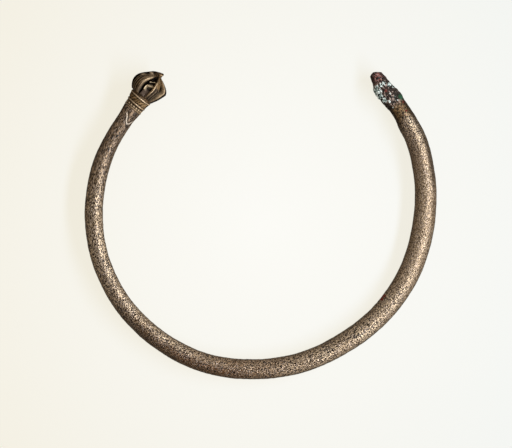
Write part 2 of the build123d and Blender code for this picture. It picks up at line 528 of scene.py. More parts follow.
# The rod's rings along its line
stations = np.concatenate([
    np.linspace(0.0, COLLAR_STRETCH, COLLAR_RINGS, endpoint=False),
    np.linspace(COLLAR_STRETCH, bare_start - BARE_STRETCH, BEND_RINGS, endpoint=False),
    np.linspace(bare_start - BARE_STRETCH, rod_end - NOSE_STRETCH, BARE_RINGS, endpoint=False),
    np.linspace(rod_end - NOSE_STRETCH, rod_end - LAST_RING, NOSE_RINGS),
])
middle_x = flow(guide_places, guide[:, 0], stations)
middle_y = flow(guide_places, guide[:, 1], stations)
heading = np.unwrap(np.arctan2(np.gradient(middle_y, stations), np.gradient(middle_x, stations)))
heading += 2 * pi * np.round((collar_heading - heading[0]) / (2 * pi))
heading += (collar_heading - heading) * fade(stations, 0.0, SEAT_STRAIGHT)
side = np.stack([np.sin(heading), -np.cos(heading), np.zeros_like(heading)], axis=1)

# How far the rod's inner and outer sides lie from the line
halves = [COLLAR_END_WIDTH / 2] + [ROD_WIDTH * section.width / 2 for section in ROD_SECTIONS]
inner_halves = halves + [section.inner for section in BARE_SECTIONS]
outer_halves = halves + [section.outer for section in BARE_SECTIONS]
inner = flow(guide_places, inner_halves, stations, steady=True)
inner -= WAIST_DEPTH * bell(stations, WAIST_MIDDLE, WAIST_SPREAD)
outer = flow(guide_places, outer_halves, stations, steady=True)
half = (inner + outer) / 2
offset = (outer - inner) / 2

# A place round the rod is an angle from the hoop's outside, over the top
turn = np.arange(RING_POINTS) * 2 * pi / RING_POINTS
round_out = np.cos(turn)
round_up = np.sin(turn)
along = np.repeat(stations[:, None], RING_POINTS, axis=1)
bare_along = along - bare_start

# The rod's skin laid out for its grain, which is drawn out twice as long near the collar
grain_along = np.cumsum(np.gradient(stations) * (0.5 + 0.5 * ease(stations, *DRAWN_GRAIN_ENDS)))
skin = np.stack([
    np.repeat(grain_along[:, None], RING_POINTS, axis=1),
    half[:, None] * round_out,
    half[:, None] * round_up,
], axis=2)
aside = skin[..., 1] + offset[:, None]


def stained(stains, start=0.0):
    """How strongly each place of the rod is stained, from 0 to 1."""
    strength = np.zeros_like(along)
    for stain in stains:
        away = np.hypot(along - start - stain.along, aside - stain.out)
        here = fade(away, STAIN_CORE * stain.size, STAIN_EDGE * stain.size)
        strength = np.maximum(strength, here)
    return strength


def dart_marks():
    """The incised line of the darts, how bright it is, partly rubbed and partly a painted highlight where
    it faces the lamp, and a painted shadow beside its lit limbs.
    """
    radius = COLLAR_END_WIDTH / 2
    path = [(corner.along, radius * radians(corner.turn)) for corner in DART_CORNERS]
    gap = path_distance(along, (radius * turn)[None, :], path)
    corner_turns = [corner.turn for corner in DART_CORNERS]
    bright = np.interp(np.degrees(turn), corner_turns, [corner.bright for corner in DART_CORNERS])
    beside = bell(gap, DART_BORDER, DART_HALF) * ease(bright, 0.3, 0.9)
    return bell(gap, 0.0, DART_HALF), bright, beside


def brown_mark():
    """How brown the rod is on its browner stretches."""
    brown = np.zeros_like(along)
    for stretch in BROWN_STRETCHES:
        sides = stretch.inner + (stretch.outer - stretch.inner) * ease(round_out, -0.5, 0.3)
        brown = np.maximum(brown, bell(along, stretch.middle, stretch.spread) * sides)
    return brown


def side_shade_mark():
    """Painted shade where the rod's sides turn down and away, and round the nose."""
    outer_rim = ease(round_out, 0.84, 0.98)
    inner_rim = ease(-round_out, 0.84, 0.98)
    collar_sides = 0.6 * ease(round_out, 0.72, 0.94) + 0.4 * ease(-round_out, 0.4, 0.7)
    collar_sides = collar_sides + 0.4 * bell(round_out, -0.66, 0.15)
    crust_side = between(bare_along, CRUST_SIDE_STARTS, CRUST_SIDE_ENDS) * ease(-round_out, 0.5, 0.9)
    nose_rim = np.maximum(ease(np.abs(round_out), 0.38, 0.66), ease(bare_along, *NOSE_TIP_STARTS))
    parts = [
        fade(along, *COLLAR_SIDES_END) * collar_sides,
        0.25 * ease(along, *OUTER_SHADE_STARTS) * ease(round_out, 0.35, 0.75),
        0.9 * ease(bare_along, *BARE_SIDE_STARTS) * ease(round_out, 0.30, 0.80),
        ease(bare_along, *BARE_RIM_STARTS) * ease(round_out, 0.55, 0.85),
        0.85 * crust_side * (1 - mint),
        0.85 * outer_rim * (1 - mint),
        0.50 * inner_rim * (1 - mint),
        nose * nose_rim,
    ]
    for dark in SIDE_SHADES:
        stretch = bell(along, dark.middle, dark.spread)
        parts.append(dark.strength * ease(round_out, dark.starts, dark.full) * stretch)
    return np.maximum.reduce(parts)


def shade_beside_highlight_mark():
    """A band of painted shade along the rod's top from the collar, beside the highlight, which it
    narrows.
    """
    far = ease(along, 14.0, 26.0)
    ridge = ease(round_out, -0.25 - 0.1 * far, -0.05)
    ridge = ridge * fade(round_out, 0.2 + 0.05 * far, 0.35 + 0.2 * far)
    outer_part = ease(along, 38.0, 48.0) * ease(round_out, -0.1, 0.2)
    return np.maximum(ridge, outer_part) * fade(along, 62.0, 88.0)


def rod_relief():
    """How far the rod's skin stands out from its plain round form, and its grain by itself."""
    streaks = ROD_STREAKS.height * cloud(skin * STREAK_SCALE, ROD_STREAKS)
    streaks = streaks * (0.35 + 0.65 * fade(along, *STREAKS_END))
    drawn_skin = skin * GRAIN_SCALE
    grain = cloud(drawn_skin, ROD_GRAIN)
    pitting = ROD_PITTING.height * cloud(drawn_skin, ROD_PITTING) + ROD_GRAIN.height * grain
    relief = lumpy(skin, ROD_LUMPS) + streaks + pitting * (1 - 0.3 * calm)
    relief = relief + crust * lumpy(skin, CRUST_LUMPS) + MINT_HEIGHT * mint * (0.5 + grain)
    relief = relief - DART_DEPTH * dart_cut - PIT_DEPTH * rod_pit
    return relief * ease(along, 0.0, 0.25) * ease(rod_end - along, 0.0, 0.6), grain


def cut_nose(rings, grain):
    """Cuts the rings off at the nose's flat faces, which are a little rough."""
    for facet in NOSE_FACETS:
        way = bare_way * facet.along + bare_out * facet.out + UP * facet.up
        beyond = (rings - bare_foot) @ way - facet.reach + 0.02 * grain
        rings -= way * np.where(bare_along > NOSE_STARTS[0], np.maximum(beyond, 0.0), 0.0)[..., None]


def plug_rings(seat, outs, ups, sizes):
    """The round rings of the tenon, or of its socket, each of a depth into the bud and a radius."""
    plug = []
    for depth, radius in sizes:
        ring = bud_outside * (radius * outs)[:, None] + UP * (radius * ups)[:, None]
        plug.append(seat + bud_axis * depth + ring)
    return plug


# What is where on the rod, each from 0 to 1
mint = stained(MINT_STAINS, bare_start)
rust = np.maximum(0.6 * stained(RUST_STAINS, bare_start), stained(ROD_RUST_STAINS))
green = stained(GREEN_STAINS, bare_start)
rod_pit = np.maximum(stained(ROD_PITS), stained(DARK_STAINS, bare_start)) * (skin[..., 2] > 0)
crust = between(bare_along, CRUST_STARTS, CRUST_ENDS)
nose = ease(bare_along, *NOSE_STARTS)
wavy_edge = 0.5 * np.sin(turn * 3.0)[None, :]
dull = ease(bare_along + wavy_edge, *DULL_STARTS)
dull = np.maximum(dull, 0.3 * fade(along, *COLLAR_DULL_ENDS))
calm = ease(along, *CALM_STARTS) * fade(bare_along, *CALM_ENDS)
# The shade mark: by the collar partly darker metal and partly painted shade that dulls the highlight
# there; towards the corroded end painted shade on the inner side
bare_shade = 0.6 * ease(bare_along, *BARE_SHADE_STARTS) * ease(-round_out, -0.3, 0.3)
shade = np.maximum(fade(along, *COLLAR_SHADE_ENDS), bare_shade)
dart_cut, dart_bright, dart_shadow = dart_marks()

# The hoop, with its tenon hidden in the bud
relief, grain = rod_relief()
reach_out = (half[:, None] + relief) * round_out + offset[:, None]
reach_up = (half[:, None] + relief) * round_up
middle = np.stack([middle_x, middle_y, np.zeros_like(stations)], axis=1)
rings = middle[:, None, :] + side[:, None, :] * reach_out[..., None]
rings[..., 2] += reach_up
cut_nose(rings, grain)
tenon_sizes = [(TENON_LENGTH, TENON_END_RADIUS), (0.0, TENON_RADIUS)]
tenon_rings = plug_rings(guide[0], round_out, round_up, tenon_sizes)
hoop_marks = {
    "skin": skin,
    "mint": mint,
    "crust": crust,
    "nose": nose,
    "green": green,
    "rust": rust,
    # The darts' line: partly rubbed metal, partly a painted highlight where it faces the lamp
    "dart": dart_cut * dart_bright,
    "dull": dull,
    "brown": brown_mark(),
    # Pits and dark stains, and the painted shadow beside the darts' lit limbs
    "pits_and_dart_shadow": np.maximum(rod_pit, 0.7 * dart_shadow),
    "calm": calm,
    "shade": shade,
    "painted_side_shade": side_shade_mark(),
    "collar": fade(along, *COLLAR_GRAIN_ENDS),
    "shade_beside_highlight": shade_beside_highlight_mark(),
}
hoop = skin_mesh("bronze_hoop", tenon_rings, rings, hoop_marks, HOOP_TO_WORLD)


def column_turns():
    """The angles of the bud's columns, which crowd together at the ribs' crests."""
    angles = np.linspace(-180.0, 180.0, 7201)
    density = np.ones_like(angles)
    for rib in RIBS:
        density += CREST_CROWDING * bell(apart(angles, rib.turn), 0.0, CREST_SPREAD)
    share = np.concatenate([[0.0], np.cumsum((density[1:] + density[:-1]) / 2)])
    return np.interp(np.arange(BUD_COLUMNS) / BUD_COLUMNS * share[-1], share, angles)


# The bud's grid: rows along its axis from the seat, columns round it
bud_turn = column_turns()
bud_along = np.concatenate([
    np.linspace(-SEAT_LIP, TIP_START, BUD_ROWS, endpoint=False),
    np.linspace(TIP_START, BUD_END - LAST_RING, TIP_ROWS),
])
turns = bud_turn[None, :]
places = bud_along[:, None]
bud_out = np.sin(np.radians(turns))
bud_up = np.cos(np.radians(turns))
body_places = [girth.along for girth in BUD_GIRTHS]
body_radii = [girth.radius for girth in BUD_GIRTHS]
body_asides = [girth.aside for girth in BUD_GIRTHS]
body_end = body_places[-1]
core = flow(body_places, body_radii, np.clip(bud_along, 0.0, body_end))
core = core * np.sqrt(np.clip((BUD_END - bud_along) / TIP_ROUNDING, 0.0, 1.0))
bud_aside = flow(body_places, body_asides, np.clip(bud_along, 0.0, body_end))
on_bud = ease(places, BUD_START, BUD_START + 0.4)

# The collar's rings are tilted: on top they lie nearer to the seat
tilted = places + COLLAR_TILT * between(places, (0.05, 0.7), (3.2, 4.6)) * bud_up
height = flow(body_places, body_radii, np.clip(tilted, 0.0, body_end))
height = np.where(places > CORE_START, core[:, None], height)


def rib_outline(rib):
    """How far a rib reaches from the axis, all along the bud."""
    rising = np.clip((bud_along - BUD_START) / (rib.crest - BUD_START), 0.0, 1.0)
    falling = np.clip((bud_along - rib.crest) / (rib.end - rib.crest), 0.0, 1.0)
    reach = rib.foot + (rib.reach - rib.foot) * (1 - (1 - rising) ** rib.rise)
    reach = reach - rib.reach * falling ** rib.fall
    return reach * ease(bud_along, BUD_START - 0.1, BUD_START + 0.12)


def lit_flank(rib):
    """The side of a broad rib that turns to the lamp, beside its crest, where a painted highlight goes.
    """
    away = np.radians(apart(turns, rib.turn))
    beside = bell(away * rib_outline(rib)[:, None], 0.55, 0.32)
    return (away > 0) * beside * between(places, (4.0, 5.6), (7.9, 8.6))


# The hollows between the ribs: which one each column is in, how far from its middle, and how far
# the ribs at its sides reach. Each is filled a little.
hollow_index = np.zeros(BUD_COLUMNS, int)
hollow_turn = np.zeros(BUD_COLUMNS)
outline = np.zeros_like(height)
for index, rib in enumerate(RIBS):
    following = RIBS[(index + 1) % len(RIBS)]
    span = (following.turn - rib.turn) % 360.0
    inside = (bud_turn - rib.turn) % 360.0 < span
    hollow_index[inside] = index
    hollow_turn[inside] = apart(bud_turn[inside], rib.turn + span / 2)
    envelope = np.minimum(rib_outline(rib), rib_outline(following))
    web = rib.fill * np.maximum(envelope - core, 0.0) * ease(bud_along, BUD_START, BUD_START + 0.5)
    height[:, inside] += web[:, None]
    outline[:, inside] = np.maximum(envelope, core)[:, None]
fills = np.array([rib.fill for rib in RIBS])[hollow_index]
darks = np.array([rib.dark for rib in RIBS])[hollow_index]

# The curls, turned the other way in every second hollow and left out where it is filled
mirror = np.where(hollow_index % 2 == 1, 1, -1)
hollow_aside = core[:, None] * (mirror * np.sin(np.radians(hollow_turn)))[None, :]
strokes = np.zeros_like(height)
for stroke in STROKES:
    strokes += stroke.height * bell(path_distance(places, hollow_aside, stroke.path), 0.0, stroke.half)
strokes *= ease(places, 3.2, 3.6) * np.clip(1 - 2.3 * fills, 0.0, 1.0)[None, :]
height = height + strokes

# The ribs stand up from the core, a little uneven in thickness. Each crest is lighter, partly
# rubbed and partly a painted highlight, and painted shade lies at its foot.
lit = lit_flank(BROAD_RIB)
ribbed = np.zeros_like(height)
creases = np.zeros_like(height)
for rib in RIBS:
    away = np.radians(apart(turns, rib.turn))
    reach = rib_outline(rib)[:, None]
    wave = 1 + 0.12 * np.sin(places * 3.1 + rib.turn)
    plate = rib.half * wave / np.maximum(np.abs(np.sin(away)), 1e-3)
    plate[:, np.abs(away[0]) > pi / 2] = 0.0
    fin = softer_low(reach, plate, RIB_SOFTNESS)
    height = softer_high(height, np.where(places > BUD_START - 0.1, fin, 0.0), ROOT_SOFTNESS)
    rubbed_side = np.abs(away * reach + 0.24 * sin(radians(3 * rib.turn)))
    crest = np.exp(-(rubbed_side / (1.05 * rib.half)) ** 2.5)
    crest = crest * ease(fin / np.maximum(reach, 0.1), 0.75, 0.88)
    rubbed = rib.worn * (0.15 + 0.85 * bell(places, rib.bright, 2.1))
    ribbed = np.maximum(ribbed, rubbed * crest)
    crease = bell(np.abs(away) * reach, 1.9 * rib.half, 0.6 * rib.half) * (np.abs(away) < 1.0)
    # The painted shade at the foot is left off the broad rib's lit side, and near the seat on one side of
    # the upward rib
    if rib is BROAD_RIB:
        crease = crease * (1 - lit)
    if rib is UPWARD_RIB:
        crease = crease * (1 - 0.8 * (away > 0) * fade(places, 4.6, 5.2))
    creases = np.maximum(creases, crease)

# The collar's beads and slanting lines, the lines along the filled hollows, and the knob
bead_step = 360.0 / BEADS
bead_aside = ((turns + bead_step / 2) % bead_step - bead_step / 2) * radians(1) * BEAD_RADIUS
beads = bell(np.hypot(tilted - BEAD_PLACE, bead_aside), 0.0, BEAD_HALF)
in_band = between(tilted, BAND_STARTS, BAND_ENDS)
in_groove = between(tilted, GROOVE_STARTS, GROOVE_ENDS)
waver = 1.5 * np.sin(np.radians(turns) * 7)
groove_lines = np.sin(np.radians(turns) * GROOVE_LINES + tilted * 8.0 + waver) * in_groove
lobe_lines = np.sin(hollow_turn[None, :] * 0.55 + 0.7 * np.sin(places * 2.6))
lobe_lines = lobe_lines * np.clip(fills * 3 - 1, 0, 1)[None, :]
height = height + BEAD_HEIGHT * beads * in_band + GROOVE_LINE_HEIGHT * groove_lines
height = height + LOBE_LINE_HEIGHT * lobe_lines * on_bud * (1 - ribbed)
# The knob stands out a little, and carries a painted glint in the finish
knob = bell(np.hypot(places - KNOB_PLACE, height * bud_out - KNOB_ASIDE), 0.0, KNOB_HALF) * (bud_up > 0)
height = height + KNOB_HEIGHT * knob

bud_skin = np.stack([np.broadcast_to(places, height.shape), height * bud_out, height * bud_up], axis=2)
bud_relief = lumpy(bud_skin, [BUD_GRAIN]) + lumpy(bud_skin, [BUD_LUMPS]) * on_bud
height = height + bud_relief * ease(places, 0.0, 0.2) * np.minimum(height, 1.0)


def ring_lines(lines):
    """How strongly lines that run round the collar show."""
    return sum(line.strength * bell(tilted, line.place, line.half) for line in lines)


def hollow_shade_mark():
    """Painted shade between the ribs, the darker the deeper a place lies, and darker still in some
    hollows; it is left off the broad rib's side that faces the lamp.
    """
    depth = (outline - height) / np.maximum(outline - core[:, None], 0.25)
    depth = np.clip(depth, 0.0, 1.0) * on_bud * (1 - 0.7 * lit)
    dark = darks[None, :] * (1 - 0.8 * ease(places, 6.2, 7.4)) * on_bud * (1 - ribbed) * (1 - lit)
    return np.maximum(depth, dark)


def worn_and_highlight_mark():
    """Where the bud is lighter: its ribs' crests, partly rubbed and partly painted highlight, the rubbed
    rings and beads of the collar, lines on the lobes and in the groove, a painted highlight on the broad
    rib's side that faces the lamp, and a painted glint on the knob.
    """
    crests = ribbed * on_bud * ease(height, 1.0, 2.2)
    parts = [
        np.clip(crests + ring_lines(RUBBED_RINGS) + beads * in_band, 0, 1),
        0.45 * np.clip(lobe_lines, 0, 1) * on_bud * fade(places, 7.5, 8.5),
        0.12 * np.clip(groove_lines, 0, 1),
        0.5 * lit * (0.6 + 0.4 * lobe_lines),
    ]
    return np.maximum(np.maximum.reduce(parts) * fade(places, 9.0, 9.25), knob)


def dirt_and_shade_mark():
    """Where the bud is darker: between its lines and beads, in the curls' grooves and at the seams, with
    a darker tip, and painted shade beside the ribs, on the lobe above that turns from the lamp and lower
    down on the sides that turn away.
    """
    parts = [
        0.9 * creases * on_bud * (1 - ribbed),
        0.95 * np.clip(-lobe_lines, 0, 1) * on_bud * (1 - 0.5 * lit),
        0.8 * ease(places, 9.15, 9.35) * (1 - knob),
        0.4 * ease(turns, 44.0, 62.0) * ease(places, 5.6, 7.6) * (1 - np.clip(lobe_lines, 0, 1)),
        0.9 * ease(np.abs(turns), 62.0, 80.0) * (1 - 0.6 * ribbed) * ease(places, 0.0, 0.4),
        in_band * (1 - beads),
        2.2 * np.clip(-strokes, 0, 1) * on_bud,
        0.8 * np.clip(-groove_lines, 0, 1),
        ring_lines(SEAMS),
    ]
    return np.clip(sum(parts), 0, 1)


# The bud, with the socket for the tenon hidden in it
in_upward = (hollow_index == UPWARD_HOLLOW)[None, :]
in_lower = (hollow_index == LOWER_HOLLOW)[None, :]
bud_marks = {
    "skin": bud_skin,
    "panel": between(places, (3.3, 3.5), (4.6, 5.0)) * in_upward * (1 - ribbed),
    "hollow": hollow_shade_mark(),
    "worn": worn_and_highlight_mark(),
    "dirt_and_painted_shade": dirt_and_shade_mark(),
    "curl": np.clip(strokes * 3.6, 0, 1) * on_bud,
    "gold": np.maximum(in_groove, in_lower * ease(places, 6.0, 6.8) * (1 - ribbed)),
}
bud_seat = guide[0] + bud_axis * SEAT_GAP
bud_rings = (
    bud_seat
    + bud_axis * bud_along[:, None, None]
    + bud_outside * (height * bud_out + bud_aside[:, None])[..., None]
    + UP * (height * bud_up)[..., None]
)
socket_sizes = [(TENON_LENGTH, TENON_END_RADIUS + SEAT_GAP), (-SEAT_LIP, TENON_RADIUS + SEAT_GAP)]
socket_rings = plug_rings(bud_seat, bud_out[0], bud_up[0], socket_sizes)
bud = skin_mesh("bronze_bud", socket_rings, bud_rings, bud_marks, HOOP_TO_WORLD)


# Grained tones: the values of the grain at which the tone is dark and light, and those two
# colours as display values from 0 to 255
Grained = namedtuple("Grained", "low high dark light")
BRONZE = Grained(0.475, 0.56, (24, 16, 8), (254, 227, 191))
BROWN_BRONZE = Grained(0.48, 0.57, (24, 14, 7), (186, 137, 86))
SHADED_BRONZE = Grained(0.475, 0.56, (32, 21, 13), (140, 113, 93))
COLLAR_BRONZE = Grained(0.485, 0.525, (8, 5, 3), (198, 170, 142))
DULL_BRONZE = Grained(0.42, 0.58, (24, 16, 9), (112, 85, 54))
CRUST = Grained(0.42, 0.58, (16, 9, 7), (66, 47, 38))
NOSE = Grained(0.46, 0.56, (12, 5, 4), (146, 87, 77))
RUST = Grained(0.6, 0.9, (112, 36, 24), (156, 46, 30))
MINT = Grained(2.3, 2.8, (100, 132, 126), (244, 253, 250))
BUD_BRONZE = Grained(0.42, 0.58, (22, 14, 7), (106, 80, 50))
GOLDEN_BRONZE = Grained(0.4, 0.6, (92, 67, 36), (208, 170, 116))
PAPER_RIM = Grained(-0.05, 0.05, (246, 239, 219), (242, 240, 228))

# Plain colours, as display values
SMOKY_BRONZE = (126, 98, 62)
RUDDY_BRONZE = (150, 88, 48)
SHADE_BESIDE_HIGHLIGHT_TONE = (52, 37, 24)
CALM_BRONZE = (160, 135, 106)
VEINS = (226, 205, 192)
FLECKS = (22, 14, 7)
DULL_SPECKS = (178, 147, 106)
CRUST_SPECKS = (194, 173, 162)
NOSE_SPECKS = (176, 146, 142)
PIT_AND_DART_SHADOW = (24, 20, 13)
PAINTED_SIDE_SHADE_TONE = (28, 18, 10)
VERDIGRIS = (42, 90, 62)
RUBBED_LINE_AND_HIGHLIGHT = (255, 242, 226)
BUD_SPECKS = (168, 136, 98)
HOLLOW_SHADE = (18, 11, 6)
PANEL = (132, 114, 102)
CURL = (226, 206, 170)
DIRT_AND_PAINTED_SHADE = (12, 7, 3)
RUBBED_AND_HIGHLIGHT_BRONZE = (248, 218, 178)
PAPER = (253, 249, 237)
PAPER_SHADOW = (90, 102, 122)


def colour(display):
    """A colour in linear light from its three display values, 0 to 255."""
    parts = [value / 255 for value in display]
    linear = [part / 12.92 if part <= 0.04045 else ((part + 0.055) / 1.055) ** 2.4 for part in parts]
    return (*linear, 1.0)


class Finish:
    """A material and short ways to add nodes to it."""

    def __init__(self, name):
        self.material = bpy.data.materials.new(name)
        self.material.use_nodes = True
        self.tree = self.material.node_tree
        self.tree.nodes.clear()

    def node(self, kind, settings=None, sockets=None):
        made = self.tree.nodes.new(kind)
        for name, value in (settings or {}).items():
            setattr(made, name, value)
        for name, value in (sockets or {}).items():
            if isinstance(value, bpy.types.NodeSocket):
                self.tree.links.new(value, made.inputs[name])
            else:
                made.inputs[name].default_value = value
        return made

    def mark(self, name):
        """One of the marks that the mesh carries, from 0 to 1."""
        return self.node("ShaderNodeAttribute", {"attribute_name": name}).outputs["Fac"]

    def skin(self, scale):
        """The place on the laid-out skin, drawn out along the axes where the scale is small."""
        source = self.node("ShaderNodeAttribute", {"attribute_name": "skin"}).outputs["Vector"]
        return self.node("ShaderNodeMapping", {}, {"Vector": source, "Scale": scale}).outputs["Vector"]

    def noise(self, vector, scale, detail=3.0, roughness=0.55):
        """Smooth noise from 0 to 1."""
        sockets = {"Vector": vector, "Scale": scale, "Detail": detail, "Roughness": roughness}
        return self.node("ShaderNodeTexNoise", {}, sockets).outputs["Fac"]

    def cells(self, vector, scale):
        """How far each place is from the middle of the nearest cell."""
        made = self.node("ShaderNodeTexVoronoi", {}, {"Vector": vector, "Scale": scale})
        return made.outputs["Distance"]

    def span(self, value, low, high, to_low=0.0, to_high=1.0):
        """A value carried over from one range to another, and held within it."""
        sockets = {"Value": value, "From Min": low, "From Max": high, "To Min": to_low, "To Max": to_high}
        return self.node("ShaderNodeMapRange", {"clamp": True}, sockets).outputs["Result"]

    def maths(self, operation, first, second):
        return self.node("ShaderNodeMath", {"operation": operation}, {0: first, 1: second}).outputs[0]

    def times(self, first, second):
        return self.maths("MULTIPLY", first, second)

    def plus(self, first, second):
        return self.maths("ADD", first, second)

    def mix(self, share, first, second):
        """The first colour with a share of the second over it."""
        made = self.node("ShaderNodeMix", {"data_type": "RGBA"}, {0: share, 6: first, 7: second})
        return made.outputs[2]

    def tinted(self, tone, share, display):
        """A tone with a share of a plain colour over it."""
        return self.mix(share, tone, colour(display))

    def grained(self, grain, tones):
        """A tone that goes from dark to light with the grain."""
        share = self.span(grain, tones.low, tones.high)
        return self.mix(share, colour(tones.dark), colour(tones.light))

    def bump(self, height, distance, strength=1.0, normal=None):
        sockets = {"Height": height, "Distance": distance, "Strength": strength}
        if normal is not None:
            sockets["Normal"] = normal
        return self.node("ShaderNodeBump", {}, sockets).outputs["Normal"]

    def surface(self, sockets):
        """Ends the material with a plain surface, and returns it."""
        shader = self.node("ShaderNodeBsdfPrincipled", {}, sockets)
        output = self.node("ShaderNodeOutputMaterial")
        self.tree.links.new(shader.outputs[0], output.inputs["Surface"])
        return self.material


Grain = namedtuple("Grain", "mottle fine flecks veins")


def rod_grain(finish, place):
    """The rod's grain: coarse and fine mottling, flecks, and veins between the fine one's halves."""
    mottle = finish.noise(place, 4.9, 1.0, 0.5)
    fine = finish.noise(place, 3.0, 1.0, 0.5)
    ridge = finish.maths("ABSOLUTE", finish.maths("SUBTRACT", fine, 0.5), 0.0)
    return Grain(mottle, fine, finish.cells(place, 4.4), finish.span(ridge, 0.0, 0.05, 1.0, 0.0))


def sound_tone(finish, place, grain):
    """The sound bronze of the rod, browner, darker or calmer where it is marked so, with painted shade by
    the collar, beside the highlight, on the inner side towards the corroded end and beside the darts.
    """
    collar = finish.mark("collar")
    brown = finish.mark("brown")
    broad = finish.noise(place, 0.35, 3.0)
    collar_grain = finish.noise(finish.skin((0.8, 1.0, 1.0)), 3.7, 1.0, 0.5)
    tone = finish.grained(grain.mottle, BRONZE)
    tone = finish.tinted(tone, finish.span(broad, 0.4, 0.65, 0.0, 0.35), SMOKY_BRONZE)
    tone = finish.mix(finish.times(brown, 0.85), tone, finish.grained(grain.mottle, BROWN_BRONZE))
    ruddy = finish.times(finish.span(grain.fine, 0.52, 0.58), brown)
    tone = finish.tinted(tone, finish.times(ruddy, 0.4), RUDDY_BRONZE)
    shaded = finish.grained(grain.mottle, SHADED_BRONZE)
    shaded = finish.mix(finish.times(collar, 0.95), shaded, finish.grained(collar_grain, COLLAR_BRONZE))
    tone = finish.mix(finish.mark("shade"), tone, shaded)
    tone = finish.tinted(tone, finish.times(finish.mark("shade_beside_highlight"), 0.38), SHADE_BESIDE_HIGHLIGHT_TONE)
    tone = finish.tinted(tone, finish.times(finish.mark("calm"), 0.5), CALM_BRONZE)
    tone = finish.tinted(tone, finish.times(grain.veins, 0.6), VEINS)
    fewer = finish.span(collar, 0.0, 1.0, 1.0, 0.4)
    flecked = finish.times(finish.span(grain.flecks, 0.18, 0.38, 0.8, 0.0), fewer)
    return finish.tinted(tone, finish.maths("MAXIMUM", flecked, finish.mark("pits_and_dart_shadow")), FLECKS)


def corroded_tone(finish, grain, crusty, tone):
    """The rod's bronze with its dull stretch, its crust, its red nose and its stains over it, and painted
    shade on its sides.
    """
    dull = finish.grained(grain.fine, DULL_BRONZE)
    dull = finish.tinted(dull, finish.span(grain.mottle, 0.54, 0.58, 0.0, 0.8), DULL_SPECKS)
    tone = finish.mix(finish.mark("dull"), tone, dull)
    crust = finish.grained(grain.mottle, CRUST)
    crust = finish.tinted(crust, finish.span(grain.fine, 0.57, 0.61), CRUST_SPECKS)
    tone = finish.mix(crusty, tone, crust)
    # Pits and stains, and the painted shadow beside the darts
    tone = finish.tinted(tone, finish.times(finish.mark("pits_and_dart_shadow"), 0.9), PIT_AND_DART_SHADOW)
    nose = finish.grained(grain.fine, NOSE)
    nose = finish.tinted(nose, finish.span(grain.mottle, 0.55, 0.60), NOSE_SPECKS)
    tone = finish.mix(finish.mark("nose"), tone, nose)
    # Painted shade on the sides that turn away, and round the nose
    tone = finish.tinted(tone, finish.times(finish.mark("painted_side_shade"), 0.8), PAINTED_SIDE_SHADE_TONE)
    rust = finish.mark("rust")
    rusty = finish.span(finish.plus(rust, grain.fine), 0.95, 1.15, 0.0, 0.9)
    tone = finish.mix(rusty, tone, finish.grained(rust, RUST))
    green = finish.times(finish.mark("green"), finish.span(grain.mottle, 0.3, 0.5))
    return finish.tinted(tone, green, VERDIGRIS)


def mint_growth(finish, grain):
    """How far the chalky growth covers the rod, in specks, and its tone."""
    mint = finish.mark("mint")
    speckle = finish.plus(finish.times(grain.fine, 2.6), finish.times(grain.mottle, 2.2))
    cover = finish.span(finish.plus(finish.times(mint, 1.2), speckle), 3.25, 3.41)
    cover = finish.times(cover, finish.span(mint, 0.0, 0.2))
    return cover, finish.grained(speckle, MINT)


def rod_finish():
    finish = Finish("hoop_bronze")
    place = finish.skin((0.65, 1.0, 1.0))
    grain = rod_grain(finish, place)
    crusty = finish.maths("MAXIMUM", finish.mark("crust"), finish.mark("nose"))
    minty, mint_tone = mint_growth(finish, grain)
    tone = corroded_tone(finish, grain, crusty, sound_tone(finish, place, grain))
    tone = finish.mix(minty, tone, mint_tone)
    # The darts' rubbed line, with a painted highlight where it faces the lamp
    tone = finish.tinted(tone, finish.mark("dart"), RUBBED_LINE_AND_HIGHLIGHT)
    matte = finish.maths("MAXIMUM", crusty, minty)
    blunt = finish.plus(finish.times(finish.mark("dull"), 0.35), matte)
    blunt = finish.plus(finish.span(finish.mark("collar"), 0.9, 1.0, 0.0, 0.35), blunt)
    normal = finish.bump(grain.mottle, 0.06 * MM)
    normal = finish.bump(grain.veins, 0.01 * MM, 1.0, normal)
    normal = finish.bump(grain.flecks, 0.05 * MM, 1.0, normal)
    return finish.surface({
        "Base Color": tone,
        "Metallic": finish.span(matte, 0.0, 1.0, 0.45, 0.0),
        "Roughness": finish.span(finish.plus(grain.mottle, blunt), 0.3, 1.3, 0.2, 0.75),
        # The chalky growth also glows faintly: painted light that keeps it pale where it lies in shade
        "Emission Color": mint_tone,
        "Emission Strength": finish.times(minty, 0.22),
        "Normal": normal,
    })


